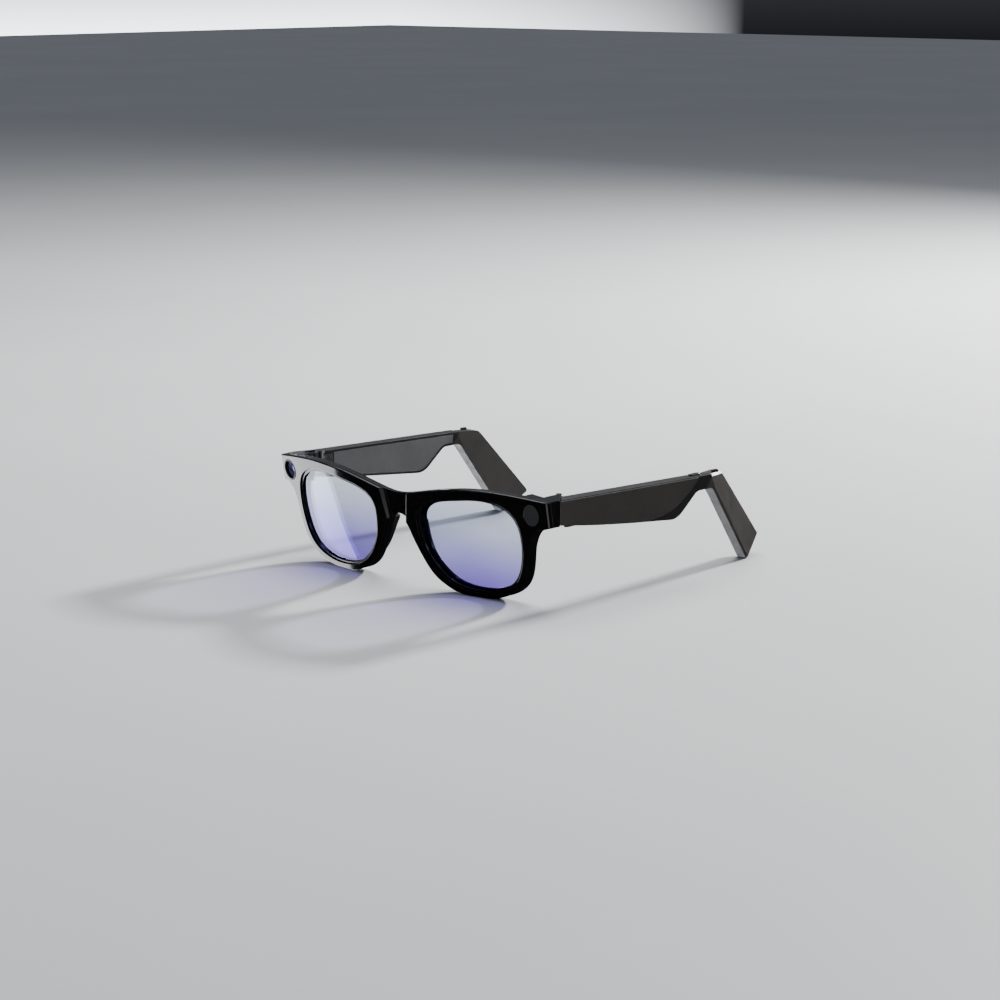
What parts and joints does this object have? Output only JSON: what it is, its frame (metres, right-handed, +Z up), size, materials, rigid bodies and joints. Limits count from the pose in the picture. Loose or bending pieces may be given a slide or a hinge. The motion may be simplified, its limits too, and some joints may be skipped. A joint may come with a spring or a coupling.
{
  "type": "smart glasses",
  "caption": "Full-rim smart glasses with a front camera, an indicator window, folding temples that hold the electronics, and straight angled ear hooks.",
  "frame": {"origin": "on the surface that the open glasses stand on, at the centre of their footprint", "axes": "+X to the wearer's left, +Y from the front back along the temples, +Z up"},
  "size_m": [0.1546, 0.1478, 0.0453],
  "materials": {
    "front_gloss": "polished black",
    "front_rear": "satin polished black",
    "lens_glass": "clear with a faint lavender coating",
    "bezel": "polished black",
    "nose_pad": "satin black",
    "hinge_steel": "brushed",
    "temple_skin": "satin warm dark grey",
    "temple_shell": "satin charcoal",
    "inner_cover": "satin mid grey",
    "circuit_board": "solder mask",
    "battery_foil": "foil pouch",
    "speaker_body": "black",
    "speaker_mesh": "dark woven mesh",
    "microphone": "black",
    "ribbon": "amber polyimide",
    "camera_ring": "black with a fine machined edge",
    "camera_window": "clear cover glass",
    "camera_lens": "blue violet coated lens",
    "indicator_window": "matt dark grey",
    "light_guide": "frosted",
    "button": "satin black",
    "switch_metal": "plain",
    "contact_gold": "gold plated"
  },
  "bodies": {
    "front": {"camera_barrel": "camera_ring", "camera_bezel": "camera_ring", "camera_lens": "camera_lens", "camera_sensor_board": "circuit_board", "camera_window": "camera_window", "front_flex": "ribbon", "front_leaf_screws_left": "hinge_steel", "front_leaf_screws_right": "hinge_steel", "front_rear_shell": "front_rear", "front_shell": "front_gloss", "hinge_front_leaf_left": "hinge_steel", "hinge_front_leaf_right": "hinge_steel", "hinge_screw_left": "hinge_steel", "hinge_screw_right": "hinge_steel", "indicator_board": "circuit_board", "indicator_light_guide": "light_guide", "indicator_window": "indicator_window", "lens_bezel_left": "bezel", "lens_bezel_right": "bezel", "lens_left": "lens_glass", "lens_right": "lens_glass", "nose_microphone": "microphone", "nose_pad_left": "nose_pad", "nose_pad_right": "nose_pad"},
    "temple_left": {"battery_left": "battery_foil", "button_switches": "switch_metal", "charging_contacts": "contact_gold", "circuit_board_left": "circuit_board", "ear_hook_left": "temple_skin", "hinge_temple_leaf_left": "hinge_steel", "hook_core_left": "hinge_steel", "rear_microphone_left": "microphone", "speaker_left": "speaker_body", "speaker_mesh_left": "speaker_mesh", "temple_flex_left": "ribbon", "temple_inner_cover_left": "inner_cover", "temple_leaf_screws_left": "hinge_steel", "temple_outer_panel_left": "temple_skin", "temple_shell_left": "temple_shell"},
    "temple_right": {"battery_right": "battery_foil", "circuit_board_right": "circuit_board", "ear_hook_right": "temple_skin", "hinge_temple_leaf_right": "hinge_steel", "hook_core_right": "hinge_steel", "rear_microphone_right": "microphone", "speaker_mesh_right": "speaker_mesh", "speaker_right": "speaker_body", "temple_flex_right": "ribbon", "temple_inner_cover_right": "inner_cover", "temple_leaf_screws_right": "hinge_steel", "temple_outer_panel_right": "temple_skin", "temple_shell_right": "temple_shell", "touch_sensor": "ribbon"},
    "capture_button": {"capture_button": "button"},
    "power_button": {"power_button": "button"}
  },
  "joints": [
    {"name": "temple_left_fold", "type": "hinge", "parent": "front", "child": "temple_left", "pos_m": [0.06576, -0.04902, 0.0393], "axis": [0, 0, 1], "range_deg": [0, 92]},
    {"name": "temple_right_fold", "type": "hinge", "parent": "front", "child": "temple_right", "pos_m": [-0.06864, -0.04902, 0.0393], "axis": [0, 0, -1], "range_deg": [-4.5, 75.5]},
    {"name": "capture_button_press", "type": "slide", "parent": "temple_left", "child": "capture_button", "axis": [0, 0, -1], "range_m": [0, 0.0003], "stiffness_N_per_m": 1500, "springref_m": -0.0006},
    {"name": "power_button_press", "type": "slide", "parent": "temple_left", "child": "power_button", "axis": [0, 0, 1], "range_m": [0, 0.0003], "stiffness_N_per_m": 1500, "springref_m": -0.0006}
  ]
}
